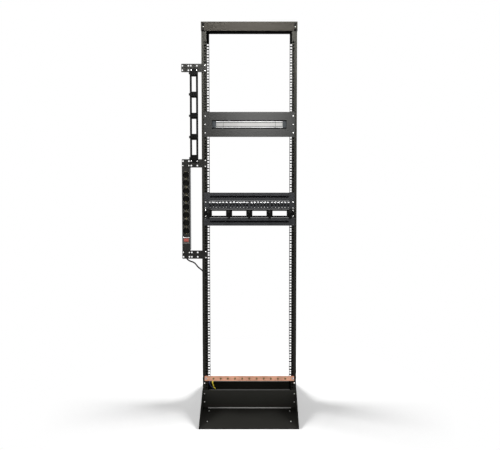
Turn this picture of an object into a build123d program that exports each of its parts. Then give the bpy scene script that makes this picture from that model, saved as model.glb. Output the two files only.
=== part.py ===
"""Two-post open frame rack, 42 units high, on a splayed foot.

It carries three side brackets with a cable organiser and a socket strip, a panel with a
mounting rail, two brush panels, a patch panel, a ring organiser and an earth bar.
X runs to the viewer's right, Y from front to back and Z up. The origin is on the floor,
under the middle of the posts. All sizes are in millimetres.
"""
import os
from math import radians, tan

from build123d import *

# Rack grid
UNIT = 44.45
UNIT_COUNT = 42
HOLE_STEPS = (6.35, 22.225, 38.1)
HOLE_SIDE = 9.5
COLUMN_SPACING = 465.1
EAR_EDGE = 8.75
PANEL_PLAY = 0.8
PANEL_SHEET = 2.0

# Posts and crossbar
HOLE_EDGE = 7.55
POST_FACE = 27.0
BACK_STEP = 5.5
POST_DEPTH = 130.0
POST_WALL = 2.0
UNITS_BOTTOM = 112.0
HEAD_ROOM = 53.1
CROSSBAR_HEIGHT = 48.0
CROSSBAR_WALL = 2.0

# Foot
FOOT_DEPTH = 600.0
FOOT_WALL = 2.5
FOOT_TIP = 8.0
FOOT_FLANGE = 45.0
FLOOR_SHEET = 2.5
PLINTH_TOP = 105.0
PLINTH_SHEET = 2.0
PLINTH_SLIT = 6.0
PLINTH_FOLD = 12.0
FOLD_PLAY = 0.5
ANCHOR_INSET = 35.0
ANCHOR_Y = 225.0
ANCHOR_HOLE = 10.0

# Side brackets: unit and hole that each bracket's two bolts take, counted from the top
BRACKET_HOLE_NUMBERS = {
    "upper_side_bracket": ((2, 2), (3, 1)),
    "middle_side_bracket": ((14, 0), (14, 2)),
    "lower_side_bracket": ((25, 0), (25, 2)),
}
BRACKET_SHEET = 2.0
BRACKET_CORNER = 4.0
SLOT_GAP = 17.5
BRACKET_HOLE = 8.5
UNIT_BOLTS = 31.75
BOLT_ROWS = 23.85

# Cable organisers
RING_COUNT = 5
RING_INSET = 17.0
RING_REACH = 60.0
RING_WIDTH = 12.0
RING_WALL = 4.0
RING_BEVEL = 11.0
ORGANISER_BRIDGE = 33.0
SIDE_ORGANISER_EDGE = 11.0
RING_PANEL_EDGE = 9.0

# Socket strip
STRIP_DEPTH = 44.0
STRIP_WALL = 2.0
STRIP_PLAY = 0.75
STRIP_FILL = 20.0
SOCKET_COUNT = 8
SOCKET_FIRST = 39.0
SOCKET_PITCH = 42.7
SOCKET_BORE = 37.0
SOCKET_WELL = 16.0
SWITCH_PLACE = 387.0
SWITCH_LENGTH = 19.0
SWITCH_WIDTH = 24.5
SWITCH_PLAY = 0.75
SWITCH_SINK = 6.0
SWITCH_RISE = 3.2
SWITCH_PEAK = 4.6
SWITCH_PIVOT = 1.5
SWITCH_TILT = 7.0
SWITCH_WELL = 14.0
BEZEL_EDGE = 4.5
BEZEL_RISE = 2.5

# Mains cord
CORD_DIAMETER = 7.5
CORD_LEAD = 10.0
GLAND_LENGTH = 14.0
GLAND_OFFSET = -10.0
GLAND_BASE = 14.0
COIL_MEAN = 42.0
COIL_TURNS_WIDE = 2
COIL_TURNS_HIGH = 2
COIL_SIDES = 12
COIL_X = -197.5
COIL_Y = 120.0
PLUG_DIAMETER = 37.0
PLUG_BODY = 34.0
PLUG_TAIL = 16.0
PLUG_NECK = 9.5
PLUG_SHIFT = 30.0
PLUG_SEAT = 0.3
PIN_DIAMETER = 4.8
PIN_LENGTH = 19.0
PIN_SPACING = 19.0

# Panels, with the unit that each takes, counted from the top
UPPER_BRUSH_UNIT_NUMBER = 18
PATCH_UNIT_NUMBER = 19
RING_UNIT_NUMBER = 20
LOWER_BRUSH_UNIT_NUMBER = 21
RAIL_PANEL_UNIT_NUMBER = 9
RAIL_PANEL_HOLE_NUMBER = 2
RAIL_PANEL_UNIT_COUNT = 3
RAIL_WINDOW_MARGIN = 34.55
RAIL_WINDOW_HEIGHT = 45.0
RAIL_HEIGHT = 35.0
RAIL_DEPTH = 7.5
RAIL_STEEL = 1.2
RAIL_LIP = 4.0
RAIL_SET_BACK = 44.0
RAIL_END_PLAY = 2.0
RAIL_TAB = 18.0
RAIL_CLIP = 12.0
BRUSH_MARGIN = 22.55
BRUSH_HEIGHT = 10.0
BRUSH_OVERLAP = 5.0
BRUSH_THICK = 6.0
BRUSH_SEAM = 0.5
PORT_GROUPS = 4
PORTS_A_GROUP = 6
GROUP_PITCH = 110.0
PORT_PITCH = 17.4
PORT_WIDTH = 11.7
PORT_HEIGHT = 9.0
JACK_DEPTH = 24.0
JACK_HEIGHT = 21.0
JACK_FACE = 15.0
JACK_SIDE = 1.5
JACK_PROUD = 0.6
JACK_WELL = 14.0
LABEL_HEIGHT = 6.0
LABEL_RISE = 14.5
LABEL_THICK = 0.6

# Earth bar and its wires
BAR_UNIT_NUMBER = 40
BAR_HOLE_NUMBER = 1
BAR_HEIGHT = 25.0
BAR_THICK = 5.0
BAR_EDGE = 7.5
STANDOFF_HEIGHT = 20.0
STANDOFF_END = 14.0
STANDOFF_WAIST = 11.0
STANDOFF_CAP = 4.0
WIRE_DIAMETER = 4.6

# Tools that cut go this far past the faces they open
PAST = 1.0

# Places worked out from the sizes above
OPENING_HALF = COLUMN_SPACING / 2 - HOLE_EDGE
BACK_OPENING_HALF = OPENING_HALF - BACK_STEP
RAIL_WINDOW_HALF = COLUMN_SPACING / 2 - RAIL_WINDOW_MARGIN
BRUSH_HALF = COLUMN_SPACING / 2 - BRUSH_MARGIN
FRAME_HALF = OPENING_HALF + POST_FACE
PANEL_HALF = COLUMN_SPACING / 2 + EAR_EDGE
POST_FRONT = -POST_DEPTH / 2
POST_BACK = POST_DEPTH / 2
UNITS_TOP = UNITS_BOTTOM + UNIT * UNIT_COUNT
CROSSBAR_LOW = UNITS_TOP + HEAD_ROOM
HEIGHT = CROSSBAR_LOW + CROSSBAR_HEIGHT
FLOOR_TOP = FOOT_WALL + FLOOR_SHEET
PANEL_FRONT = POST_FRONT - PANEL_SHEET
BRACKET_FRONT = POST_FRONT - BRACKET_SHEET
DEVICE_FRONT = BRACKET_FRONT - PANEL_SHEET
INNER_SLOT_X = -(FRAME_HALF + SLOT_GAP + UNIT / 2)
OUTER_SLOT_X = INNER_SLOT_X - UNIT


def block(x, y, z):
    """A box given by its low and high face along each axis."""
    size = [high - low for low, high in (x, y, z)]
    return Pos(x[0], y[0], z[0]) * Box(*size, align=(Align.MIN, Align.MIN, Align.MIN))


def both(half):
    """The low and high face of something centred on zero."""
    return (-half, half)


def about(middle, half):
    """The low and high face of something centred on a place."""
    return (middle - half, middle + half)


def bore_along_y(x, z, diameter, y):
    """A round cutter from the front to the back."""
    middle = (y[0] + y[1]) / 2
    return Pos(x, middle, z) * Rot(90, 0, 0) * Cylinder(diameter / 2, y[1] - y[0] + 2 * PAST)


def hole_height(unit, hole):
    """Height of a rail hole, by unit and by hole in the unit, both counted from the top."""
    return UNITS_TOP - unit * UNIT - HOLE_STEPS[hole]


def mirrored(solid):
    """The same piece for the other side of the rack."""
    return mirror(solid, about=Plane.YZ)


def save(name, shape):
    """Write one piece to its own file."""
    shape.label = name
    export_step(shape, f"parts/{name}.step")


# Frame
def right_post():
    """A C section with its web outside. Both flanges are pierced, and the back one is wider."""
    tall = (FLOOR_TOP, HEIGHT - CROSSBAR_WALL)
    web = block((FRAME_HALF - POST_WALL, FRAME_HALF), (POST_FRONT, POST_BACK), tall)
    flanges = []
    for edge, depth in (
        (OPENING_HALF, (POST_FRONT, POST_FRONT + POST_WALL)),
        (BACK_OPENING_HALF, (POST_BACK - POST_WALL, POST_BACK)),
    ):
        column = about(edge + HOLE_EDGE, HOLE_SIDE / 2)
        through = (depth[0] - PAST, depth[1] + PAST)
        holes = [
            block(column, through, about(hole_height(unit, hole), HOLE_SIDE / 2))
            for unit in range(UNIT_COUNT)
            for hole in range(len(HOLE_STEPS))
        ]
        flanges.append(block((edge, FRAME_HALF), depth, tall) - holes)
    return web + flanges


def top_crossbar():
    """A folded cap, open below, that closes over the tops of both posts."""
    wall = CROSSBAR_WALL
    cap = block(both(FRAME_HALF + wall), (POST_FRONT - wall, POST_BACK + wall), (CROSSBAR_LOW, HEIGHT))
    inside = block(both(FRAME_HALF), (POST_FRONT, POST_BACK), (CROSSBAR_LOW - PAST, HEIGHT - wall))
    return cap - inside


def anchor_holes(z):
    """Cutters for the four floor bolts."""
    tall = z[1] - z[0] + 2 * PAST
    middle = (z[0] + z[1]) / 2
    return [
        Pos(x, y, middle) * Cylinder(ANCHOR_HOLE / 2, tall)
        for x in both(FRAME_HALF - ANCHOR_INSET)
        for y in both(ANCHOR_Y)
    ]


def right_foot():
    """A folded side plate: sloped front and back edges, and a flange that lies on the floor."""
    tip = FOOT_DEPTH / 2
    shoulder = POST_DEPTH / 2 + PLINTH_SHEET
    outline = Polyline(
        (-tip, 0), (tip, 0), (tip, FOOT_TIP), (shoulder, PLINTH_TOP),
        (-shoulder, PLINTH_TOP), (-tip, FOOT_TIP), close=True,
    )
    side = extrude(Plane.YZ.offset(FRAME_HALF) * make_face(outline), FOOT_WALL)
    flange = block(
        (FRAME_HALF - FOOT_FLANGE, FRAME_HALF),
        both(tip - FLOOR_SHEET),
        (0, FOOT_WALL),
    )
    return side + flange - anchor_holes((0, FOOT_WALL))


def floor_plate():
    """A sheet on the two foot flanges, with its front and back edges turned down to the floor."""
    end = FOOT_DEPTH / 2
    sheet = block(both(FRAME_HALF), both(end), (FOOT_WALL, FLOOR_TOP))
    front_lip = block(both(FRAME_HALF), (-end, -end + FLOOR_SHEET), (0, FOOT_WALL))
    back_lip = block(both(FRAME_HALF), (end - FLOOR_SHEET, end), (0, FOOT_WALL))
    return sheet + front_lip + back_lip - anchor_holes((FOOT_WALL, FLOOR_TOP))


def front_plinth_panel():
    """A plate across the feet of the posts, its top edge folded back between them."""
    front = POST_FRONT - PLINTH_SHEET
    plate = block(both(FRAME_HALF), (front, POST_FRONT), (FLOOR_TOP + PLINTH_SLIT, PLINTH_TOP))
    fold = block(
        both(BACK_OPENING_HALF - FOLD_PLAY),
        (POST_FRONT, POST_FRONT + PLINTH_FOLD),
        (PLINTH_TOP - PLINTH_SHEET, PLINTH_TOP),
    )
    return plate + fold


# Side brackets and what hangs on them
def bracket_height(name):
    """Middle of a side bracket, between its two bolts."""
    return sum(hole_height(*bolt) for bolt in BRACKET_HOLE_NUMBERS[name]) / 2


def side_bracket(name):
    """A flat plate on the left post with two places for equipment hung upright."""
    middle = bracket_height(name)
    left = OUTER_SLOT_X - UNIT / 2
    right = -OPENING_HALF
    face = Pos((left + right) / 2, middle) * RectangleRounded(right - left, UNIT, BRACKET_CORNER)
    plate = extrude(Plane.XZ.offset(-POST_FRONT) * face, BRACKET_SHEET)
    depth = (BRACKET_FRONT, POST_FRONT)
    holes = [
        bore_along_y(slot + across, middle + row, BRACKET_HOLE, depth)
        for slot in (OUTER_SLOT_X, INNER_SLOT_X)
        for across in both(UNIT_BOLTS / 2)
        for row in both(BOLT_ROWS / 2)
    ]
    return plate - holes


def ring_places(hole_spacing):
    """Places of the rings along an organiser, from its middle."""
    first = -(hole_spacing / 2 - RING_INSET)
    pitch = -2 * first / (RING_COUNT - 1)
    return [first + pitch * number for number in range(RING_COUNT)]


def organiser_panel(hole_spacing, back, edge):
    """A one-unit plate lying along X with a cable window between each pair of rings."""
    half = (UNIT - PANEL_PLAY) / 2
    depth = (back - PANEL_SHEET, back)
    plate = block(both(hole_spacing / 2 + EAR_EDGE), depth, both(half))
    rings = ring_places(hole_spacing)
    windows = [
        block(
            (low + ORGANISER_BRIDGE / 2, high - ORGANISER_BRIDGE / 2),
            (depth[0] - PAST, depth[1] + PAST),
            both(half - edge),
        )
        for low, high in zip(rings, rings[1:])
    ]
    return plate - windows


def organiser_rings(hole_spacing, back):
    """Closed loops that stand out from the plate, with bevelled front corners."""
    half = (UNIT - PANEL_PLAY) / 2
    seat = back - PANEL_SHEET
    front = seat - RING_REACH
    outline = Polyline(
        (seat, -half), (seat, half), (front + RING_BEVEL, half), (front, half - RING_BEVEL),
        (front, RING_BEVEL - half), (front + RING_BEVEL, -half), close=True,
    )
    outside = make_face(outline)
    hole = offset(outside, -RING_WALL, kind=Kind.INTERSECTION)
    loop = extrude(Plane.YZ.offset(-RING_WIDTH / 2) * (outside - hole), RING_WIDTH)
    return Compound([Pos(place, 0, 0) * loop for place in ring_places(hole_spacing)])


def organiser_span():
    """Bolt spacing and middle height of the organiser that hangs on the upper two brackets."""
    top = bracket_height("upper_side_bracket") - BOLT_ROWS / 2
    bottom = bracket_height("middle_side_bracket") + BOLT_ROWS / 2
    return top - bottom, (top + bottom) / 2


def hung_on_brackets(shape):
    """Turn an organiser upright and set it on the brackets."""
    return Pos(INNER_SLOT_X, 0, organiser_span()[1]) * Rot(0, 90, 0) * shape


# Socket strip
STRIP_HALF = (UNIT - PANEL_PLAY) / 2
STRIP_TOP = bracket_height("middle_side_bracket") - UNIT / 2 - STRIP_PLAY
STRIP_BOTTOM = bracket_height("lower_side_bracket") + UNIT / 2 + STRIP_PLAY
STRIP_BACK = DEVICE_FRONT + STRIP_DEPTH
STRIP_ACROSS = about(OUTER_SLOT_X, STRIP_HALF)
STRIP_INSIDE = (STRIP_BOTTOM + STRIP_WALL, STRIP_TOP - STRIP_WALL)
SWITCH_Z = STRIP_TOP - SWITCH_PLACE
GLAND_X = OUTER_SLOT_X + GLAND_OFFSET
GLAND_Y = (DEVICE_FRONT + STRIP_BACK) / 2


def strip_housing():
    """A drawn channel, open at the front and the ends."""
    channel = block(STRIP_ACROSS, (DEVICE_FRONT, STRIP_BACK), STRIP_INSIDE)
    inside = block(
        about(OUTER_SLOT_X, STRIP_HALF - STRIP_WALL),
        (DEVICE_FRONT - PAST, STRIP_BACK - STRIP_WALL),
        (STRIP_INSIDE[0] - PAST, STRIP_INSIDE[1] + PAST),
    )
    return channel - inside


def strip_sockets():
    """The moulded face, with a round well for each plug and a pocket for the switch."""
    face = block(
        about(OUTER_SLOT_X, STRIP_HALF - STRIP_WALL),
        (DEVICE_FRONT, DEVICE_FRONT + STRIP_FILL),
        STRIP_INSIDE,
    )
    wells = [
        bore_along_y(
            OUTER_SLOT_X,
            STRIP_TOP - SOCKET_FIRST - SOCKET_PITCH * number,
            SOCKET_BORE,
            (DEVICE_FRONT - PAST, DEVICE_FRONT + SOCKET_WELL - PAST),
        )
        for number in range(SOCKET_COUNT)
    ]
    pocket = block(
        about(OUTER_SLOT_X, SWITCH_WIDTH / 2 + SWITCH_PLAY),
        (DEVICE_FRONT - PAST, DEVICE_FRONT + SWITCH_WELL),
        about(SWITCH_Z, SWITCH_LENGTH / 2 + 2 * SWITCH_PLAY),
    )
    return face - [*wells, pocket]


def strip_ends():
    """Two end caps, each folded over its bracket as a mounting ear."""
    caps = []
    for end, inward, bracket in (
        (STRIP_TOP, -1, "middle_side_bracket"),
        (STRIP_BOTTOM, 1, "lower_side_bracket"),
    ):
        cap = block(STRIP_ACROSS, (DEVICE_FRONT, STRIP_BACK), sorted((end, end + inward * STRIP_WALL)))
        bolts = bracket_height(bracket) + inward * BOLT_ROWS / 2
        tip = bolts - inward * EAR_EDGE
        ear = block(STRIP_ACROSS, (DEVICE_FRONT, BRACKET_FRONT), sorted((end, tip)))
        caps.append(cap + ear)
    return Compound(caps)


def switch_bezel():
    """A raised rim round the switch."""
    across = SWITCH_WIDTH / 2 + SWITCH_PLAY
    along = SWITCH_LENGTH / 2 + 2 * SWITCH_PLAY
    depth = (DEVICE_FRONT - BEZEL_RISE, DEVICE_FRONT)
    rim = block(about(OUTER_SLOT_X, across + BEZEL_EDGE), depth, about(SWITCH_Z, along + BEZEL_EDGE))
    hole = block(
        about(OUTER_SLOT_X, across), (depth[0] - PAST, depth[1] + PAST), about(SWITCH_Z, along)
    )
    return rim - hole


def switch_rocker():
    """A rocker with a shallow ridge, resting with its lower end pressed in."""
    half = SWITCH_LENGTH / 2
    outline = Polyline(
        (SWITCH_SINK, -half), (SWITCH_SINK, half), (-SWITCH_RISE, half),
        (-SWITCH_PEAK, 0), (-SWITCH_RISE, -half), close=True,
    )
    rocker = extrude(Plane.YZ.offset(-SWITCH_WIDTH / 2) * make_face(outline), SWITCH_WIDTH)
    pivot = Pos(OUTER_SLOT_X, DEVICE_FRONT + SWITCH_PIVOT, SWITCH_Z)
    return pivot * Rot(SWITCH_TILT, 0, 0) * rocker


# Mains cord
def cord_gland():
    """A tapered sleeve where the cord leaves the lower end cap."""
    sleeve = Cone(
        CORD_DIAMETER / 2, GLAND_BASE / 2, GLAND_LENGTH, align=(Align.CENTER, Align.CENTER, Align.MAX)
    )
    return Pos(GLAND_X, GLAND_Y, STRIP_BOTTOM) * sleeve


COIL_LOW = FLOOR_TOP
COIL_HEIGHT = COIL_TURNS_HIGH * CORD_DIAMETER
COIL_TOP = COIL_LOW + COIL_HEIGHT
CORD_END = (-204.0, 78.5)
GLAND_END = STRIP_BOTTOM - GLAND_LENGTH
CORD_ROUTE = [
    (GLAND_X, GLAND_Y, GLAND_END),
    (GLAND_X, GLAND_Y, GLAND_END - CORD_LEAD),
    (-343.4, -45.7, 831.2),
    (-336.7, -42.4, 818.2),
    (-327.4, -36.6, 808.0),
    (-317.9, -26.7, 800.7),
    (-302.0, -2.0, 790.0),
    (-292.5, 18.0, 773.0),
    (-284.0, 38.0, 755.5),
    (-273.6, 58.0, 741.0),
    (-262.5, 76.0, 727.0),
    (-254.0, 85.0, 704.0),
    (-249.0, 87.0, 670.0),
    (-247.0, 85.0, 615.0),
    (-249.0, 87.0, 530.0),
    (-247.0, 84.0, 440.0),
    (-249.5, 86.0, 350.0),
    (-247.0, 84.5, 265.0),
    (-248.0, 86.0, 190.0),
    (-243.0, 84.0, 135.0),
    (-231.0, 82.0, 94.0),
    (-215.0, 80.0, 66.0),
    (*CORD_END, 44.0),
    (*CORD_END, COIL_TOP),
]
YELLOW_ROUTE = [
    (-197, 0, 0),
    (-197, 0, -13),
    (-193, 4, -28),
    (-192.5, 14, -41),
    (-190, 27, -48.5),
    (-187, 39.5, -56.5),
    (-185, 47.2, -71),
    (-184, 50, -96),
    (-184.5, 49, -127),
]
BLUE_ROUTE = [
    (-214, 0, 0),
    (-214, 0, -12),
    (-210, 4, -27),
    (-205, 13, -40),
    (-201, 27, -48),
    (-198.5, 39.5, -56.5),
    (-197, 47.7, -72),
    (-198, 50.5, -97),
    (-197, 49.5, -128),
]


def tube(route, diameter):
    """A round tube along straight runs, with the largest arcs that the runs leave room for."""
    points = [Vector(*point) for point in route]
    radii = []
    for before, corner, after in zip(points, points[1:], points[2:]):
        turn = (corner - before).get_angle(after - corner)
        run = min((corner - before).length, (after - corner).length)
        radii.append(0.45 * run / tan(radians(turn / 2)))
    path = FilletPolyline(*points, radius=radii)
    print("cord radii", [round(radius, 1) for radius in radii])
    start = Plane(origin=path @ 0, z_dir=path % 0)
    solid = sweep(start * Circle(diameter / 2), path=path)
    section = start * Circle(diameter / 2)
    print("cord volume", round(solid.volume), "section times length", round(section.area * path.length))
    return solid


def cord_coil():
    """The outer shape of the wound length, a flat ring on the floor plate."""
    half = COIL_TURNS_WIDE * CORD_DIAMETER / 2
    outside = RegularPolygon(COIL_MEAN + half, COIL_SIDES, major_radius=False)
    inside = RegularPolygon(COIL_MEAN - half, COIL_SIDES, major_radius=False)
    return Pos(COIL_X, COIL_Y, COIL_LOW) * extrude(outside - inside, COIL_HEIGHT)


def mains_plug():
    """A round two-pin plug lying on the coil."""
    radius = PLUG_DIAMETER / 2
    outline = Polyline(
        (0, 0), (PLUG_NECK / 2, 0), (radius, PLUG_TAIL), (radius, PLUG_TAIL + PLUG_BODY),
        (0, PLUG_TAIL + PLUG_BODY), close=True,
    )
    body = revolve(Plane.XZ * make_face(outline), Axis.Z)
    pins = [
        Pos(place, 0, PLUG_TAIL + PLUG_BODY)
        * Cylinder(PIN_DIAMETER / 2, PIN_LENGTH, align=(Align.CENTER, Align.CENTER, Align.MIN))
        for place in both(PIN_SPACING / 2)
    ]
    middle = (PLUG_TAIL + PLUG_BODY) / 2
    seat = Pos(COIL_X, COIL_Y + PLUG_SHIFT, COIL_TOP + radius + PLUG_SEAT)
    return seat * Rot(0, -90, 0) * Pos(0, 0, -middle) * (body + pins)


# Panels
def blank_panel(units, middle):
    """A flat panel of a whole number of units on the front of the posts."""
    half = (units * UNIT - PANEL_PLAY) / 2
    return block(both(PANEL_HALF), (PANEL_FRONT, POST_FRONT), about(middle, half))


RAIL_FRONT = PANEL_FRONT + RAIL_SET_BACK
RAIL_BACK = RAIL_FRONT + RAIL_DEPTH
RAIL_END = RAIL_WINDOW_HALF - RAIL_END_PLAY


def rail_panel():
    """A panel with a long recess, folded from the sheet, for devices that clip on the rail in it."""
    middle = hole_height(RAIL_PANEL_UNIT_NUMBER, RAIL_PANEL_HOLE_NUMBER)
    half = RAIL_WINDOW_HEIGHT / 2
    shell = block(
        both(RAIL_WINDOW_HALF + PANEL_SHEET),
        (POST_FRONT, RAIL_BACK + PANEL_SHEET),
        about(middle, half + PANEL_SHEET),
    )
    recess = block(both(RAIL_WINDOW_HALF), (PANEL_FRONT - PAST, RAIL_BACK), about(middle, half))
    return blank_panel(RAIL_PANEL_UNIT_COUNT, middle) + shell - recess


def mounting_rail():
    """A top-hat rail: a channel with two lips that face the viewer."""
    edge = RAIL_HEIGHT / 2
    throat = edge - RAIL_LIP
    back = RAIL_DEPTH
    upper = [(0, edge), (0, throat), (back - RAIL_STEEL, throat)]
    inner = [(back - RAIL_STEEL, -throat), (0, -throat), (0, -edge)]
    outer = [(RAIL_STEEL, -edge), (RAIL_STEEL, -throat - RAIL_STEEL), (back, -throat - RAIL_STEEL)]
    last = [(back, throat + RAIL_STEEL), (RAIL_STEEL, throat + RAIL_STEEL), (RAIL_STEEL, edge)]
    profile = make_face(Polyline(*upper, *inner, *outer, *last, close=True))
    rail = extrude(Plane.YZ.offset(-RAIL_END) * profile, 2 * RAIL_END)
    return Pos(0, RAIL_FRONT, hole_height(RAIL_PANEL_UNIT_NUMBER, RAIL_PANEL_HOLE_NUMBER)) * rail


def rail_brackets():
    """Two folded clips on the ends of the recess, whose tabs hold the rail's ends down."""
    middle = hole_height(RAIL_PANEL_UNIT_NUMBER, RAIL_PANEL_HOLE_NUMBER)
    tall = about(middle, RAIL_HEIGHT / 2)
    foot = block(
        (RAIL_WINDOW_HALF - PANEL_SHEET, RAIL_WINDOW_HALF),
        (RAIL_FRONT - RAIL_CLIP, RAIL_FRONT - PANEL_SHEET),
        tall,
    )
    tab = block((RAIL_END - RAIL_TAB, RAIL_WINDOW_HALF), (RAIL_FRONT - PANEL_SHEET, RAIL_FRONT), tall)
    right = foot + tab
    return Compound([right, mirrored(right)])


def brush_panel(unit):
    """A one-unit panel with a long window for cables."""
    middle = hole_height(unit, 1)
    window = block(
        both(BRUSH_HALF),
        (PANEL_FRONT - PAST, POST_FRONT + PAST),
        about(middle, BRUSH_HEIGHT / 2),
    )
    return blank_panel(1, middle) - window


def brush_strips(unit):
    """Two facing rows of bristles behind the window, which meet along its middle."""
    middle = hole_height(unit, 1)
    reach = BRUSH_HEIGHT / 2 + BRUSH_OVERLAP
    depth = (POST_FRONT, POST_FRONT + BRUSH_THICK)
    across = both(BRUSH_HALF + BRUSH_OVERLAP)
    upper = block(across, depth, (middle + BRUSH_SEAM / 2, middle + reach))
    lower = block(across, depth, (middle - reach, middle - BRUSH_SEAM / 2))
    return Compound([upper, lower])


def group_middles():
    """Middles of the groups of ports."""
    return [GROUP_PITCH * (number - (PORT_GROUPS - 1) / 2) for number in range(PORT_GROUPS)]


def jack_face(group, depth):
    """The part of a block of jacks that shows in its window."""
    half = PORTS_A_GROUP * PORT_PITCH / 2 - JACK_SIDE
    return block(about(group, half), depth, about(hole_height(PATCH_UNIT_NUMBER, 1), JACK_FACE / 2))


def patch_panel():
    """A one-unit panel with a window for each group of ports."""
    blank = blank_panel(1, hole_height(PATCH_UNIT_NUMBER, 1))
    return blank - [jack_face(group, (PANEL_FRONT - PAST, POST_FRONT + PAST)) for group in group_middles()]


def jack_block(group):
    """A block of jacks that seats behind the panel and fills its window, with a well for each plug."""
    middle = hole_height(PATCH_UNIT_NUMBER, 1)
    front = PANEL_FRONT - JACK_PROUD
    half = PORTS_A_GROUP * PORT_PITCH / 2
    body = block(about(group, half), (POST_FRONT, POST_FRONT + JACK_DEPTH), about(middle, JACK_HEIGHT / 2))
    wells = [
        block(
            about(group + PORT_PITCH * (port - (PORTS_A_GROUP - 1) / 2), PORT_WIDTH / 2),
            (front - PAST, front + JACK_WELL),
            about(middle, PORT_HEIGHT / 2),
        )
        for port in range(PORTS_A_GROUP)
    ]
    return body + jack_face(group, (front, POST_FRONT)) - wells


def patch_labels():
    """A label strip over each group of ports."""
    middle = hole_height(PATCH_UNIT_NUMBER, 1) + LABEL_RISE
    half = PORTS_A_GROUP * PORT_PITCH / 2
    depth = (PANEL_FRONT - LABEL_THICK, PANEL_FRONT)
    return Compound([
        block(about(group, half), depth, about(middle, LABEL_HEIGHT / 2)) for group in group_middles()
    ])


# Earth bar
BAR_Z = hole_height(BAR_UNIT_NUMBER, BAR_HOLE_NUMBER)
BAR_BACK = POST_FRONT - STANDOFF_HEIGHT
BAR_MIDDLE_Y = BAR_BACK - BAR_THICK / 2
BAR_LOW = BAR_Z - BAR_HEIGHT / 2


def earth_bar():
    """A flat copper bar across the front of the posts."""
    half = COLUMN_SPACING / 2 + BAR_EDGE
    return block(both(half), (BAR_BACK - BAR_THICK, BAR_BACK), about(BAR_Z, BAR_HEIGHT / 2))


def bar_standoffs():
    """A waisted insulator at each end of the bar."""
    end = STANDOFF_END / 2
    waist = STANDOFF_WAIST / 2
    outline = Polyline(
        (0, 0), (end, 0), (end, STANDOFF_CAP), (waist, STANDOFF_HEIGHT / 2),
        (end, STANDOFF_HEIGHT - STANDOFF_CAP), (end, STANDOFF_HEIGHT), (0, STANDOFF_HEIGHT), close=True,
    )
    standoff = Rot(90, 0, 0) * revolve(Plane.XZ * make_face(outline), Axis.Z)
    return Compound([Pos(x, POST_FRONT, BAR_Z) * standoff for x in both(COLUMN_SPACING / 2)])


def earth_wire(route):
    """A wire from the lower edge of the bar, over the plinth panel and down to the floor plate."""
    ends_at = (*route[-1][:2], FLOOR_TOP - BAR_LOW)
    hung = [(x, BAR_MIDDLE_Y + y, BAR_LOW + z) for x, y, z in [*route, ends_at]]
    return tube(hung, WIRE_DIAMETER)


os.makedirs("parts", exist_ok=True)

post = right_post()
save("right_post", post)
save("left_post", mirrored(post))
save("top_crossbar", top_crossbar())
foot = right_foot()
save("right_foot", foot)
save("left_foot", mirrored(foot))
save("floor_plate", floor_plate())
plinth = front_plinth_panel()
save("front_plinth_panel", plinth)
save("rear_plinth_panel", mirror(plinth, about=Plane.XZ))

for bracket_name in BRACKET_HOLE_NUMBERS:
    save(bracket_name, side_bracket(bracket_name))
hung_spacing = organiser_span()[0]
hung_panel = organiser_panel(hung_spacing, BRACKET_FRONT, SIDE_ORGANISER_EDGE)
save("side_organiser_panel", hung_on_brackets(hung_panel))
save("side_organiser_rings", hung_on_brackets(organiser_rings(hung_spacing, BRACKET_FRONT)))

save("socket_strip_housing", strip_housing())
save("socket_strip_face", strip_sockets())
save("socket_strip_ends", strip_ends())
save("switch_bezel", switch_bezel())
save("switch_rocker", switch_rocker())
save("cord_gland", cord_gland())
save("mains_cord", tube(CORD_ROUTE, CORD_DIAMETER))
save("mains_cord_coil", cord_coil())
save("mains_plug", mains_plug())

save("rail_panel", rail_panel())
save("mounting_rail", mounting_rail())
save("rail_brackets", rail_brackets())
save("upper_brush_panel", brush_panel(UPPER_BRUSH_UNIT_NUMBER))
save("upper_brush", brush_strips(UPPER_BRUSH_UNIT_NUMBER))
save("lower_brush_panel", brush_panel(LOWER_BRUSH_UNIT_NUMBER))
save("lower_brush", brush_strips(LOWER_BRUSH_UNIT_NUMBER))
save("patch_panel", patch_panel())
save("patch_jacks", Compound([jack_block(group) for group in group_middles()]))
save("patch_labels", patch_labels())
ring_seat = Pos(0, 0, hole_height(RING_UNIT_NUMBER, 1))
save("ring_panel", ring_seat * organiser_panel(COLUMN_SPACING, POST_FRONT, RING_PANEL_EDGE))
save("ring_panel_rings", ring_seat * organiser_rings(COLUMN_SPACING, POST_FRONT))

save("earth_bar", earth_bar())
save("bar_standoffs", bar_standoffs())
save("yellow_earth_wire", earth_wire(YELLOW_ROUTE))
save("blue_earth_wire", earth_wire(BLUE_ROUTE))
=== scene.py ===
# %% [markdown]
# # A two-post rack
# This lesson dresses a tall open rack for equipment. The solid pieces come ready made from the
# frame, at their true size in metres: +Z is up and -Y is the front, where panels are bolted on.
# Here they get their paints, bolts, bristles, cords and light.

# %% Load the frame
from math import cos, pi, radians, sin

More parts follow.
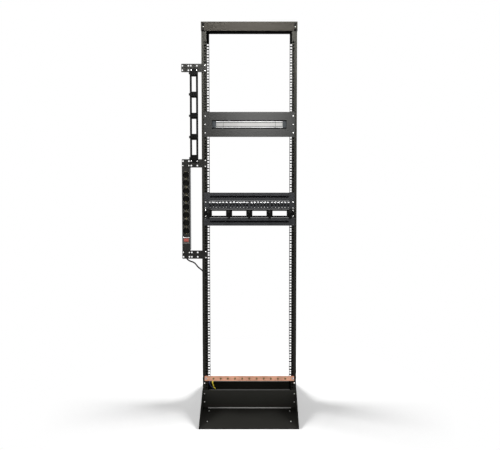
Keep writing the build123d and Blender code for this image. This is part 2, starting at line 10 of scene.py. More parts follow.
import bmesh
import bpy
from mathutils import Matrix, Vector


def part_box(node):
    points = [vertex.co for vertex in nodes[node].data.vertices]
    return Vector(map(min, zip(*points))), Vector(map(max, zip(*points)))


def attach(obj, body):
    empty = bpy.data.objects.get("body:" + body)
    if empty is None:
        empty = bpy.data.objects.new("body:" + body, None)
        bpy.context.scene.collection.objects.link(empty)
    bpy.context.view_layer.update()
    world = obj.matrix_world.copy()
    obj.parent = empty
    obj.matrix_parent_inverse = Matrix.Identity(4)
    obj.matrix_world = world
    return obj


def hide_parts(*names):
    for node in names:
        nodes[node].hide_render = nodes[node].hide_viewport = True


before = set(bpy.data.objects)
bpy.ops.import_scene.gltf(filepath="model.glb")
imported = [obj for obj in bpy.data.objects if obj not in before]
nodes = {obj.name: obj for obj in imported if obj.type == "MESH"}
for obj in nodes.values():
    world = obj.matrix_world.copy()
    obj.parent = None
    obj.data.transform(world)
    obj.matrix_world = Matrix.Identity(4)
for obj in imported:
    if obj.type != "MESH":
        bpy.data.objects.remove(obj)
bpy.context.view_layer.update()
scene = bpy.context.scene
scene.view_settings.view_transform = "Standard"
print("pieces in the frame:", len(nodes))

# %% [markdown]
# ## The camera
# The picture was taken from the front, at the height of a standing person's eyes, and tipped a
# little down. The lens is moved off the middle of the picture (a shift) instead of being tipped
# further, and so the posts stay nearly parallel.

# %% Camera
PICTURE_WIDTH = 500
PICTURE_HEIGHT = 450
LENS_PIXELS = 660.35
LENS_CENTRE = (256.81, 158.64)
CAMERA_PLACE = Vector((0.040, -3.565, 1.550))
CAMERA_TIP = radians(3.117)


def linked(name, data):
    """A new object in the scene for a camera, a lamp, a mesh or a curve."""
    thing = bpy.data.objects.new(name, data)
    scene.collection.objects.link(thing)
    return thing


camera_data = bpy.data.cameras.new("camera")
camera_data.sensor_fit = "HORIZONTAL"
camera_data.lens = camera_data.sensor_width * LENS_PIXELS / PICTURE_WIDTH
camera_data.shift_x = 0.5 - LENS_CENTRE[0] / PICTURE_WIDTH
camera_data.shift_y = (LENS_CENTRE[1] - PICTURE_HEIGHT / 2) / PICTURE_WIDTH
camera_data.clip_end = 50
camera = linked("camera", camera_data)
camera.location = CAMERA_PLACE
camera.rotation_euler = (pi / 2 - CAMERA_TIP, 0, 0)
scene.camera = camera
print("lens", round(camera_data.lens, 2), "mm")


# %% [markdown]
# ## A few helpers
# Most finishes are built from the same handful of nodes. `Nodes` keeps the tree and makes a node
# and its links in one call, so that each finish below reads as a short recipe.

# %% Helpers for node trees
class Nodes:
    """A node tree, with short calls to add and join nodes."""

    def __init__(self, tree):
        self.tree = tree

    def add(self, kind, settings=None, **inputs):
        node = self.tree.nodes.new(kind)
        for name, value in (settings or {}).items():
            setattr(node, name, value)
        for name, value in inputs.items():
            self.feed(node, name.replace("_", " "), value)
        return node

    def feed(self, node, name, value):
        # A name such as "#1" is a socket's number, for nodes whose sockets share one name.
        key = int(name[1:]) if name[0] == "#" else name
        if isinstance(value, bpy.types.NodeSocket):
            self.tree.links.new(value, node.inputs[key])
        else:
            node.inputs[key].default_value = value

    def math(self, operation, first, second=0.0):
        node = self.add("ShaderNodeMath", {"operation": operation})
        self.feed(node, "#0", first)
        self.feed(node, "#1", second)
        return node.outputs[0]

    def mix(self, factor, first, second):
        node = self.add("ShaderNodeMix", {"data_type": "RGBA"})
        self.feed(node, "#0", factor)
        self.feed(node, "#6", first)
        self.feed(node, "#7", second)
        return node.outputs[2]

    def scaled(self, vector, factor):
        node = self.add("ShaderNodeVectorMath", {"operation": "SCALE"}, Scale=factor)
        self.feed(node, "#0", vector)
        return node.outputs[0]


def grey(level):
    """A neutral colour."""
    return (level, level, level, 1.0)


def colour(red, green, blue):
    """A colour in the scene's linear light."""
    return (red, green, blue, 1.0)


# %% [markdown]
# ## Backdrop
# The rack stands on a studio sweep of white paper. A plain white world would light it from all
# sides until black paint looks grey. So the world asks the Light Path node which ray has come: it
# is white to the camera, in reflections and through glass, and much dimmer as a light.

# %% World
BACKDROP_LIGHT = 0.32


def seen_rays(tree):
    """1 for the rays that look at the backdrop: straight, in a reflection or through glass."""
    path = tree.add("ShaderNodeLightPath").outputs
    seen = tree.math("MAXIMUM", path["Is Camera Ray"], path["Is Glossy Ray"])
    return tree.math("MAXIMUM", seen, path["Is Transmission Ray"])


world = bpy.data.worlds.new("backdrop")
scene.world = world
world.use_nodes = True
sky = Nodes(world.node_tree)
level = sky.math("ADD", sky.math("MULTIPLY", seen_rays(sky), 1 - BACKDROP_LIGHT), BACKDROP_LIGHT)
backdrop = world.node_tree.nodes["Background"]
backdrop.inputs["Color"].default_value = grey(1.0)
sky.feed(backdrop, "Strength", level)
print("backdrop as a light:", BACKDROP_LIGHT)

# %% [markdown]
# ## Lamps
# Black paint shows its form only by what it reflects. A narrow lamp over the top gives the slow
# fall from grey to black down the posts, a small one at the front gives the panels their sheen,
# and a wide one at the left lifts the side brackets. Two broad suns, one from each side, lay the
# soft shadow, because a sun lights the whole floor evenly.

# %% Lamps
SUN_POWER = 5.0
SUN_WIDTH = radians(24)
SUN_HEIGHT = radians(40)


def soft_lamp(name, place, target, size, power, spread=pi):
    """A square lamp that faces a target. A small spread keeps its light in a cone."""
    lamp = bpy.data.lights.new(name, "AREA")
    lamp.size = size
    lamp.energy = power
    lamp.spread = spread
    thing = linked(name, lamp)
    thing.location = place
    thing.rotation_euler = (Vector(target) - Vector(place)).to_track_quat("-Z", "Y").to_euler()


def low_sun(name, side, behind):
    """A broad, low light from one side, slightly from behind."""
    sun = bpy.data.lights.new(name, "SUN")
    sun.energy = SUN_POWER
    sun.angle = SUN_WIDTH
    way = Vector((-side * cos(SUN_HEIGHT), -behind, -sin(SUN_HEIGHT)))
    linked(name, sun).rotation_euler = way.to_track_quat("-Z", "Y").to_euler()


soft_lamp(
    "overhead_lamp", place=(0.05, -0.9, 2.9), target=(0, 0, 2.0), size=0.6, power=16, spread=radians(52)
)
soft_lamp("side_lamp", place=(-2.0, -2.0, 1.2), target=(-0.25, 0, 1.0), size=1.2, power=8)
soft_lamp("front_lamp", place=(0.05, -3.6, 1.70), target=(0, 0, 1.5), size=0.65, power=9)
low_sun("left_sun", side=-1, behind=0.16)
low_sun("right_sun", side=1, behind=0.10)
print("lamps:", len(bpy.data.lights))

# %% [markdown]
# ## Floor
# The paper near the rack is a real surface that takes its shadow. Further out it has to run into
# the white backdrop without an edge, so there it turns by degrees into a plain white glow. The
# glow is mixed in and not added, because a floor brighter than white would eat into thin edges.

# %% Floor
FLOOR_SIZE = 14.0
FLOOR_WHITE = 0.45
FLOOR_ROUGH = 0.9
FLOOR_NEAR = 0.48
FLOOR_FADE = 0.62


def finish(name, base, roughness, metallic=0.0, specular=0.5):
    """A material, its tree and its shader, with plain settings."""
    material = bpy.data.materials.new(name)
    material.use_nodes = True
    shader = material.node_tree.nodes["Principled BSDF"]
    shader.inputs["Base Color"].default_value = base
    shader.inputs["Roughness"].default_value = roughness
    shader.inputs["Metallic"].default_value = metallic
    shader.inputs["Specular IOR Level"].default_value = specular
    return material, Nodes(material.node_tree), shader


half = FLOOR_SIZE / 2
floor_mesh = bpy.data.meshes.new("floor")
floor_mesh.from_pydata(
    [(-half, -half, 0), (half, -half, 0), (half, half, 0), (-half, half, 0)], [], [(0, 1, 2, 3)]
)
floor = linked("floor", floor_mesh)
floor_paper, paper, paper_shader = finish("floor_paper", grey(FLOOR_WHITE), FLOOR_ROUGH, specular=0.0)
paper_shader.inputs["Emission Color"].default_value = grey(1.0)
reach = paper.add("ShaderNodeVectorMath", {"operation": "LENGTH"})
paper.feed(reach, "#0", paper.add("ShaderNodeTexCoord").outputs["Object"])
far = paper.math("DIVIDE", paper.math("SUBTRACT", reach.outputs["Value"], FLOOR_NEAR), FLOOR_FADE)
far = paper.math("MINIMUM", paper.math("MAXIMUM", far, 0.0), 1.0)
far = paper.math("MULTIPLY", far, seen_rays(paper))
paper.feed(paper_shader, "Base Color", paper.mix(far, grey(FLOOR_WHITE), grey(0.0)))
paper.feed(paper_shader, "Emission Strength", far)
floor.data.materials.append(floor_paper)
print("floor", FLOOR_SIZE, "m across")

# %% [markdown]
# ## Shared effects
# Powder coat is sprayed on as dry powder and baked. Close up it is not flat: it has a fine
# orange-peel skin, and its shade drifts a little over a long panel. Many finishes share this skin,
# so it is a shader group with named inputs, made once and set to another grain in each.

# %% Shader group: orange peel
NOISE_MIDDLE = 0.5
PEEL_DEPTH = 0.35
CLOUD_SCALE = 5.0
CLOUD_ROUGH = 0.4


def new_group(name, kind, inputs, outputs):
    """A node group with named sockets, and its tree, inputs and output node."""
    group = bpy.data.node_groups.new(name, kind)
    for way, sockets in (("INPUT", inputs), ("OUTPUT", outputs)):
        for label, socket in sockets.items():
            group.interface.new_socket(label, in_out=way, socket_type="NodeSocket" + socket)
    tree = Nodes(group)
    return group, tree, tree.add("NodeGroupInput").outputs, tree.add("NodeGroupOutput")


skin, tree, given, result = new_group(
    "orange_peel", "ShaderNodeTree",
    {"Grain": "Float", "Drift": "Float"}, {"Shade": "Float", "Height": "Float", "Rough": "Float"},
)
place = tree.add("ShaderNodeTexCoord").outputs["Object"]
peel = tree.add("ShaderNodeTexNoise", Vector=place, Scale=given["Grain"], Detail=2.0)
cloud = tree.add("ShaderNodeTexNoise", Vector=place, Scale=CLOUD_SCALE, Detail=3.0)
drift = tree.math("MULTIPLY", tree.math("SUBTRACT", cloud.outputs[0], NOISE_MIDDLE), given["Drift"])
speck = tree.math("MULTIPLY", tree.math("SUBTRACT", peel.outputs[0], NOISE_MIDDLE), PEEL_DEPTH)
tree.feed(result, "Shade", tree.math("ADD", tree.math("ADD", drift, speck), 1.0))
tree.feed(result, "Height", peel.outputs[0])
tree.feed(result, "Rough", tree.math("MULTIPLY", drift, CLOUD_ROUGH))
print("shader group:", skin.name)

# %% [markdown]
# Drawn and rolled metal has long fine streaks along its length, and faint stains. Noise stretched
# along X gives both with no picture file, at any size.

# %% Shader group: drawn streaks
STAIN_SCALE = 30.0
STAIN_SHARE = 0.6

streaks, tree, given, result = new_group(
    "drawn_streaks", "ShaderNodeTree",
    {"Along": "Float", "Across": "Float", "Depth": "Float"}, {"Shade": "Float", "Height": "Float"},
)
place = tree.add("ShaderNodeTexCoord").outputs["Object"]
scale = tree.add("ShaderNodeCombineXYZ", X=given["Along"], Y=given["Across"], Z=given["Across"])
stretched = tree.add("ShaderNodeVectorMath", {"operation": "MULTIPLY"})
tree.feed(stretched, "#0", place)
tree.feed(stretched, "#1", scale.outputs[0])
line = tree.add("ShaderNodeTexNoise", Vector=stretched.outputs[0], Scale=1.0, Detail=4.0)
stain = tree.add("ShaderNodeTexNoise", Vector=place, Scale=STAIN_SCALE, Detail=3.0)
marks = tree.math("ADD", line.outputs[0], tree.math("MULTIPLY", stain.outputs[0], STAIN_SHARE))
marks = tree.math("SUBTRACT", marks, NOISE_MIDDLE * (1 + STAIN_SHARE))
tree.feed(result, "Shade", tree.math("ADD", tree.math("MULTIPLY", marks, given["Depth"]), 1.0))
tree.feed(result, "Height", line.outputs[0])
print("shader group:", streaks.name)

# %% [markdown]
# ## Finishes
# `textured` multiplies a finish's colour by a group's shade and turns the group's height into a
# slight bump. Paint, metal and plastic then differ only in which group they use and how strongly.

# %% Finish helpers
PEEL_GRAIN = 900.0
PLASTIC_GRAIN = 2500.0


def textured(tree, shader, group, base, bump, distance=0.0002, **values):
    """Shade and bump from a shared group; gives the group node back."""
    effect = tree.add("ShaderNodeGroup", {"node_tree": group})
    for label, value in values.items():
        effect.inputs[label].default_value = value
    tree.feed(shader, "Base Color", tree.scaled(base, effect.outputs["Shade"]))
    raised = tree.add("ShaderNodeBump", Strength=bump, Distance=distance, Height=effect.outputs["Height"])
    tree.feed(shader, "Normal", raised.outputs[0])
    return effect


def peeled(name, base, roughness, specular, **texture):
    """A finish with the orange-peel skin, whose gloss drifts a little with its shade."""
    material, tree, shader = finish(name, colour(*base), roughness, specular=specular)
    effect = textured(tree, shader, skin, base, **texture)
    tree.feed(shader, "Roughness", tree.math("ADD", effect.outputs["Rough"], roughness))
    return material


def powder_coat(name, base, roughness, specular, grain=PEEL_GRAIN):
    """Baked powder paint."""
    return peeled(name, base, roughness, specular, bump=0.25, distance=0.0003, Grain=grain, Drift=0.25)


def moulded(name, base, roughness, specular=0.4):
    """Moulded plastic or rubber with a fine matt grain."""
    return peeled(name, base, roughness, specular, bump=0.2, Grain=PLASTIC_GRAIN, Drift=0.2)


def drawn_metal(name, base, roughness, depth, across=900.0):
    """Metal with streaks along X from drawing or rolling."""
    material, tree, shader = finish(name, colour(*base), roughness, metallic=1.0)
    textured(tree, shader, streaks, base, bump=0.15, Along=6.0, Across=across, Depth=depth)
    return material


# %% [markdown]
# The frame's black leans to a warm brown, and the panels' black leans to blue, because they come
# from different paint shops. Each line gives a colour, a roughness, and then a shine or the depth
# of the streaks.

# %% Paints, metals and plastics
frame_paint = powder_coat("frame_paint", (0.020, 0.0195, 0.016), 0.5, 0.25)
panel_paint = powder_coat("panel_paint", (0.0145, 0.0155, 0.0175), 0.45, 0.28)
bracket_paint = powder_coat("bracket_paint", (0.0095, 0.0092, 0.0080), 0.5, 0.16)
ring_paint = powder_coat("ring_paint", (0.0025, 0.0025, 0.0025), 0.6, 0.06)
shell_paint = powder_coat("strip_shell", (0.030, 0.033, 0.038), 0.35, 0.35, grain=1600.0)
base_paint = powder_coat("base_paint", (0.0068, 0.0067, 0.0057), 0.65, 0.06)

blue_zinc = drawn_metal("blue_zinc", (0.078, 0.085, 0.09), 0.4, 0.3)
black_zinc = drawn_metal("black_zinc", (0.06, 0.06, 0.06), 0.4, 0.3, across=150.0)
copper = drawn_metal("copper", (0.60, 0.315, 0.215), 0.34, 1.3, across=500.0)
steel = drawn_metal("steel", (0.34, 0.35, 0.37), 0.35, 0.3, across=150.0)
nickel = drawn_metal("nickel", (0.80, 0.80, 0.78), 0.28, 0.3, across=150.0)
brass = drawn_metal("brass", (0.62, 0.52, 0.25), 0.35, 0.3, across=200.0)
dark_brass = drawn_metal("dark_brass", (0.20, 0.145, 0.07), 0.4, 0.4, across=200.0)

face_plastic = moulded("strip_plastic", (0.0112, 0.0107, 0.0090), 0.5, specular=0.2)
bezel_plastic = moulded("bezel_plastic", (0.075, 0.072, 0.063), 0.5)
# The well floors are painted darker than the face as shade, the collars lighter as a highlight.
insert_plastic = moulded("insert_plastic", (0.0050, 0.0048, 0.0040), 0.6, specular=0.1)
collar_plastic = moulded("collar_plastic", (0.040, 0.0375, 0.032), 0.5)
jack_plastic = moulded("jack_plastic", (0.020, 0.021, 0.023), 0.5, specular=0.2)
red_plastic = moulded("red_plastic", (0.36, 0.060, 0.040), 0.3, specular=0.5)
brown_resin = moulded("brown_resin", (0.30, 0.06, 0.035), 0.4)
cord_rubber = moulded("cord_rubber", (0.004, 0.004, 0.004), 0.6, specular=0.15)
yellow_sleeve = moulded("yellow_sleeve", (0.85, 0.68, 0.05), 0.4)
blue_sleeve = moulded("blue_sleeve", (0.012, 0.02, 0.075), 0.35)
white_print = moulded("white_print", (0.75, 0.75, 0.74), 0.6)
grey_print = moulded("grey_print", (0.34, 0.34, 0.33), 0.6)
seal_grey = moulded("seal_grey", (0.62, 0.62, 0.60), 0.6)
bolt_black = moulded("bolt_black", (0.0012, 0.0010, 0.0009), 0.6, specular=0.05)
bristle_black = moulded("bristle_black", (0.006, 0.006, 0.007), 0.8, specular=0.05)
print("finishes:", len(bpy.data.materials))

# %% [markdown]
# ## Finishes that change with the place
# The mounting rail is zinc. Its lips are painted light as a highlight, and its folds and edges are
# painted dark as shade. Its two joints are dark lines. They could be thin pieces of their own, but a
# mask does it with no extra mesh: `within` is 1 on a narrow band of the object's own coordinates,
# and a Mix node swaps the colour there.

# %% Zinc of the mounting rail
RAIL_LIP = 0.0134
RAIL_EDGE = 0.0158
RAIL_FOLD = 0.0116
RAIL_FOLD_HALF = 0.0023
RAIL_JOINT = 0.140
RAIL_JOINT_HALF = 0.0008
# The web's zinc, the lips' painted highlight, and the painted shade of the folds and edges, which the dark
# joints share.
RAIL_WEB_ZINC = colour(0.29, 0.287, 0.278)
RAIL_LIP_HIGHLIGHT_ZINC = colour(0.95, 0.95, 0.94)
RAIL_SHADE_AND_JOINT_ZINC = colour(0.04, 0.042, 0.045)


def coordinates(tree):
    """The object's own X, Y and Z as outputs."""
    place = tree.add("ShaderNodeTexCoord").outputs["Object"]
    return tree.add("ShaderNodeSeparateXYZ", Vector=place).outputs


def within(tree, value, middle, half):
    """A mask: 1 where a value is close to a middle."""
    return tree.math("LESS_THAN", tree.math("ABSOLUTE", tree.math("SUBTRACT", value, middle)), half)


def middle_of(node):
    """The middle of a piece's box."""
    return [(low + high) / 2 for low, high in zip(*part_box(node))]


rail_zinc, tree, shader = finish("rail_zinc", grey(0.5), 0.30, metallic=1.0)
spot = coordinates(tree)
up = tree.math("ABSOLUTE", tree.math("SUBTRACT", spot["Z"], middle_of("mounting_rail")[2]))
# Folds and edges get painted shade, the lips a painted highlight; the joints are dark lines.
fold = within(tree, up, RAIL_FOLD, RAIL_FOLD_HALF)
joint = within(tree, tree.math("ABSOLUTE", spot["X"]), RAIL_JOINT, RAIL_JOINT_HALF)
edge = tree.math("GREATER_THAN", up, RAIL_EDGE)
shade_and_joint = tree.math("MAXIMUM", tree.math("MAXIMUM", fold, joint), edge)
bright = tree.mix(tree.math("GREATER_THAN", up, RAIL_LIP), RAIL_WEB_ZINC, RAIL_LIP_HIGHLIGHT_ZINC)
shade = tree.mix(shade_and_joint, bright, RAIL_SHADE_AND_JOINT_ZINC)
textured(tree, shader, streaks, shade, bump=0.15, Along=6.0, Across=900.0, Depth=0.25)
print("finish of the rail:", rail_zinc.name)

# %% [markdown]
# A paper strip over the ports of the patch panel has one white field for each port. The fields
# repeat at the pitch of the ports, so a modulo counts along X and a mask paints each field.

# %% Label strips
PORT_GROUPS = 4
PORTS_IN_GROUP = 6
GROUP_PITCH = 0.110
PORT_PITCH = 0.0174
FIELD_HALF = 0.34
FIELD_MIDDLE = 0.5
FIELD_WHITE = 0.62
FIELD_GAP = 0.02

label_print, tree, shader = finish("label_print", grey(0.7), 0.6)
from_edge = tree.math("ADD", coordinates(tree)["X"], PORT_GROUPS / 2 * GROUP_PITCH)
along = tree.math("MODULO", from_edge, GROUP_PITCH)
shift = (PORTS_IN_GROUP * PORT_PITCH - GROUP_PITCH) / 2
share = tree.math("DIVIDE", tree.math("ADD", along, shift), PORT_PITCH)
field = within(tree, tree.math("FRACT", share), FIELD_MIDDLE, FIELD_HALF)
tree.feed(shader, "Base Color", tree.mix(field, grey(FIELD_GAP), grey(FIELD_WHITE)))
print("finish of the labels:", label_print.name)

# %% [markdown]
# Inside a folded channel and in the rail panel's recess, the colour is painted dark and matt as
# shade. A second material would need the faces sorted by hand. Here the mask `inside` is 1 wherever
# a point lies deeper than the outer skin of its piece.

# %% Painted shade inside the channels
PAINT_SKIN = 0.0005
FRAME_SHINE = 0.13
FRAME_ROUGH = 0.5
RECESS_ROUGH = 0.22
POST_BLACK = colour(0.0135, 0.0130, 0.0105)
CROSSBAR_BROWN = colour(0.0084, 0.0070, 0.0046)
RAIL_PANEL_GREY = colour(0.0062, 0.0062, 0.0052)
# The colour of the painted shade inside channels and recesses.
INSIDE_SHADE = colour(0.004, 0.004, 0.0035)


def painted_shade_inside(tree, shader, inside, base, roughness, **texture):
    """Painted shade: the colour turns dark and quite matt where the inside mask is 1."""
    textured(tree, shader, skin, tree.mix(inside, base, INSIDE_SHADE), Grain=PEEL_GRAIN, **texture)
    matt = tree.math("MULTIPLY", inside, 1 - roughness)
    tree.feed(shader, "Roughness", tree.math("ADD", matt, roughness))


def channel_finish(name, node, base):
    """Frame paint with painted shade inside a folded channel."""
    low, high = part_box(node)
    material, tree, shader = finish(name, base, FRAME_ROUGH, specular=FRAME_SHINE)
    spot = coordinates(tree)
    deep = within(tree, spot["Y"], (low[1] + high[1]) / 2, (high[1] - low[1]) / 2 - PAINT_SKIN)
    inner = tree.math("LESS_THAN", tree.math("ABSOLUTE", spot["X"]), high[0] - PAINT_SKIN)
    under = tree.math("LESS_THAN", spot["Z"], high[2] - PAINT_SKIN)
    inside = tree.math("MULTIPLY", tree.math("MULTIPLY", deep, inner), under)
    painted_shade_inside(tree, shader, inside, base, FRAME_ROUGH, bump=0.25, distance=0.0003, Drift=0.25)
    return material


# The rail panel's recess gets painted shade behind its front face.
rail_paint, tree, shader = finish("rail_panel_paint", RAIL_PANEL_GREY, RECESS_ROUGH, specular=0.35)
recess = tree.math("GREATER_THAN", coordinates(tree)["Y"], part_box("rail_panel")[0][1] + PAINT_SKIN)
painted_shade_inside(tree, shader, recess, RAIL_PANEL_GREY, RECESS_ROUGH, bump=0.12, Drift=0.1)
post_paint = channel_finish("post_paint", "right_post", POST_BLACK)
bar_paint = channel_finish("crossbar_paint", "top_crossbar", CROSSBAR_BROWN)
print("paints with a thin inside:", rail_paint.name, post_paint.name, bar_paint.name)

# %% [markdown]
# Each piece of the frame gets its finish by name, from one list like a paint shop's order.

# %% Finishes on the pieces
PAINTED = {
    post_paint: ("left_post", "right_post"),
    frame_paint: ("front_plinth_panel", "rear_plinth_panel"),
    base_paint: ("left_foot", "right_foot", "floor_plate"),
    bar_paint: ("top_crossbar",),
    rail_paint: ("rail_panel",),
    panel_paint: ("upper_brush_panel", "lower_brush_panel", "patch_panel"),
    bracket_paint: (
        "upper_side_bracket", "middle_side_bracket", "lower_side_bracket", "socket_strip_ends",
    ),
    ring_paint: ("ring_panel", "ring_panel_rings", "side_organiser_rings", "side_organiser_panel"),
    shell_paint: ("socket_strip_housing",),
    rail_zinc: ("mounting_rail",),
    blue_zinc: ("rail_brackets",),
    copper: ("earth_bar",),
    face_plastic: ("socket_strip_face",),
    bezel_plastic: ("switch_bezel",),
    red_plastic: ("switch_rocker",),
    jack_plastic: ("patch_jacks",),
    brown_resin: ("bar_standoffs",),
    cord_rubber: ("cord_gland", "mains_plug"),
    label_print: ("patch_labels",),
}
for material, names in PAINTED.items():
    for name in names:
        nodes[name].data.materials.clear()
        nodes[name].data.materials.append(material)
print("finished pieces:", sum(len(names) for names in PAINTED.values()))


# %% [markdown]
# ## Tools for small parts
# Bolts, sockets, contacts and bristles repeat many times. The shape of each is made once, about the
# origin, so that it can be set on any place later. Round shapes come from `lathe`, which turns a
# half outline about Z, and square ones from `blocks`.

# %% Turned and square shapes
SHARP_ANGLE = radians(35)


def smoothed(mesh):
    """Smooth shading that keeps the edges sharp."""
    mesh.shade_smooth()
    mesh.set_sharp_from_angle(angle=SHARP_ANGLE)
    return mesh


def as_mesh(name, shape):
    """A plain mesh from a finished bmesh."""
    mesh = bpy.data.meshes.new(name)
    shape.to_mesh(mesh)
    shape.free()
    return smoothed(mesh)


def lathe(name, profile, sides=20):
    """A solid turned about Z. The profile is radius and height, from bottom to top."""
    shape = bmesh.new()
    rings = []
    for radius, height in profile:
        steps = [2 * pi * step / sides for step in range(sides if radius else 1)]
        rings.append([shape.verts.new((radius * cos(a), radius * sin(a), height)) for a in steps])
    for low, high in zip(rings, rings[1:]):
        for step in range(sides):
            lower = [low[turn % len(low)] for turn in (step, step + 1)]
            upper = [high[turn % len(high)] for turn in (step + 1, step)]
            shape.faces.new(list(dict.fromkeys(lower + upper)))
    bmesh.ops.recalc_face_normals(shape, faces=shape.faces)
    return as_mesh(name, shape)


def blocks(name, boxes, bevel=0.0):
    """Boxes given by their low and high corners, joined in one mesh."""
    shape = bmesh.new()
    for low, high in boxes:
        for vert in bmesh.ops.create_cube(shape, size=1.0)["verts"]:
            vert.co = [a + (b - a) * (part + 0.5) for a, b, part in zip(low, high, vert.co)]
    if bevel:
        bmesh.ops.bevel(shape, geom=shape.edges, offset=bevel, segments=2, profile=0.5, affect="EDGES")
    return as_mesh(name, shape)


# %% [markdown]
# `carved` cuts one shape out of another with a Boolean modifier, as a recess is pressed into a
# screw's head, and `joined` puts several in one mesh. A modifier is only a recipe: `baked` reads
# what it makes and keeps that as a plain mesh.

# %% Cut and joined shapes
def baked(thing):
    """The mesh that an object's modifiers make, as a plain mesh."""
    return bpy.data.meshes.new_from_object(thing.evaluated_get(bpy.context.evaluated_depsgraph_get()))


def carved(mesh, cutter):
    """A mesh with another one cut out of it."""
    thing = linked(mesh.name, mesh)
    tool = linked("tool", cutter)
    cut = thing.modifiers.new("cut", "BOOLEAN")
    cut.object = tool
    cut.solver = "EXACT"
    cut.use_self = True
    result = baked(thing)
    bpy.data.objects.remove(thing)
    bpy.data.objects.remove(tool)
    return smoothed(result)


def joined(name, meshes):
    """Several meshes as one."""
    shape = bmesh.new()
    for mesh in meshes:
        shape.from_mesh(mesh)
    return as_mesh(name, shape)


def plain_piece(name, mesh, material):
    """A mesh with one finish, as a piece that rides on the rack."""
    piece = linked(name, mesh)
    piece.data.materials.append(material)
    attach(piece, "rack")


# %% [markdown]
# ## Setting parts on places
# A tree of Geometry Nodes takes loose points, each with a direction in `facing`, and grows something
# on each. What every tree needs is made once: the turn to a point's direction, an end with real
# meshes and a finish, and `grown`, which runs a tree and keeps the result as a plain mesh.

# %% Helpers for Geometry Nodes
def facing_turn(tree):
    """The turn that lays a part's Z axis along its point's direction."""
    facing = tree.add("GeometryNodeInputNamedAttribute", {"data_type": "FLOAT_VECTOR"}, Name="facing")
    return tree.add("FunctionNodeAlignRotationToVector", {"axis": "Z"}, Vector=facing.outputs[0]).outputs[0]


def end_tree(tree, geometry, finish_socket, result):
    """Real meshes instead of instances, with their finish."""
    real = tree.add("GeometryNodeRealizeInstances", Geometry=geometry)
    painted = tree.add("GeometryNodeSetMaterial", Geometry=real.outputs[0], Material=finish_socket)
    tree.feed(result, "Geometry", painted.outputs[0])


def grown(name, group, places, slot, **values):
    """Run a tree on points and the ways they face, and keep the result as a piece."""
    points = bpy.data.meshes.new(name)
    points.from_pydata([point for point, way in places], [], [])
    ways = points.attributes.new("facing", "FLOAT_VECTOR", "POINT")
    ways.data.foreach_set("vector", [part for point, way in places for part in way])
    piece = linked(name, points)
    modifier = piece.modifiers.new("tree", "NODES")
    modifier.node_group = group
    for item in group.interface.items_tree:
        if item.in_out == "INPUT" and item.name in values:
            modifier[item.identifier] = values[item.name]
    result = baked(piece)
    piece.modifiers.remove(modifier)
    piece.data = result
    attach(piece, "rack")
    print(name, "copies:", len(places), "faces:", len(piece.data.polygons))
    return piece


# %% [markdown]
# `set_on_places` puts a copy of a part on each point. `Turn` spins every copy about its own axis by
# chance, as real screws stop at any angle, and the seed keeps that chance the same on every run.

# %% Geometry Nodes: parts on places
FULL_TURN = 2 * pi
TURN_SEED = 4

set_on_places, tree, given, result = new_group("set_on_places", "GeometryNodeTree", {
    "Geometry": "Geometry", "Part": "Object", "Size": "Float", "Turn": "Float", "Seed": "Int",
    "Finish": "Material",
}, {"Geometry": "Geometry"})
part = tree.add("GeometryNodeObjectInfo", Object=given["Part"])
chance = tree.add("FunctionNodeRandomValue", {"data_type": "FLOAT"}, Seed=given["Seed"])
spin = tree.add("FunctionNodeAxisAngleToRotation", Axis=(0.0, 0.0, 1.0))
tree.feed(spin, "Angle", tree.math("MULTIPLY", chance.outputs[1], given["Turn"]))
turned = tree.add("FunctionNodeRotateRotation", {"rotation_space": "LOCAL"}, Rotation=facing_turn(tree))
tree.feed(turned, "Rotate By", spin.outputs[0])
copies = tree.add("GeometryNodeInstanceOnPoints", Points=given["Geometry"], Rotation=turned.outputs[0])
tree.feed(copies, "Instance", part.outputs["Geometry"])
tree.feed(copies, "Scale", given["Size"])
end_tree(tree, copies.outputs[0], given["Finish"], result)


def set_parts(name, shape, places, material, slot, size=1.0, turn=0.0):
    """Copies of a shape on places, as one piece."""
    model = linked(name + "_model", shape)
    piece = grown(
        name, set_on_places, places, slot, Part=model, Size=size, Turn=turn, Seed=TURN_SEED, Finish=material
    )
    bpy.data.objects.remove(model)
    return piece


# %% [markdown]
# ## Screws and bolts
# Panels hang on bright pan-head screws with a cross recess, over a washer. The frame itself is held
# by black hexagon bolts. Both are turned on the lathe at a head diameter of 1 and scaled by their
# real size, so that one shape serves for every size of screw.

# %% Screw shapes
WASHER = [(0, 0), (0.60, 0), (0.60, 0.08), (0.57, 0.12), (0, 0.12)]
PAN_HEAD = [(0, 0.12), (0.50, 0.12), (0.50, 0.26), (0.46, 0.37), (0.36, 0.45), (0.20, 0.49), (0, 0.50)]
HEX_HEAD = [(0, 0.12), (0.54, 0.12), (0.54, 0.46), (0.47, 0.52), (0, 0.52)]
RECESS_DEEP = 0.26
RECESS_LONG = 0.27
RECESS_WIDE = 0.065

cross = blocks("cross", [
    ((-RECESS_LONG, -RECESS_WIDE, RECESS_DEEP), (RECESS_LONG, RECESS_WIDE, 1)),
    ((-RECESS_WIDE, -RECESS_LONG, RECESS_DEEP), (RECESS_WIDE, RECESS_LONG, 1)),
])
slit = blocks("slit", [((-1, -RECESS_WIDE, RECESS_DEEP), (1, RECESS_WIDE, 1))])
cross_screw = joined("cross_screw", [lathe("washer", WASHER), carved(lathe("pan_head", PAN_HEAD), cross)])
slot_screw = carved(lathe("slot_screw", PAN_HEAD), slit)
hex_bolt = joined("hex_bolt", [lathe("bolt_washer", WASHER), lathe("hex_head", HEX_HEAD, sides=6)])
print("faces of a cross screw:", len(cross_screw.polygons))

# %% [markdown]
# Every place on a rack comes from the grid of rail holes: 44.45 mm to a unit, with three holes in
# each. So a place is given as a unit and a hole, counted from the top, and not as a measured height.

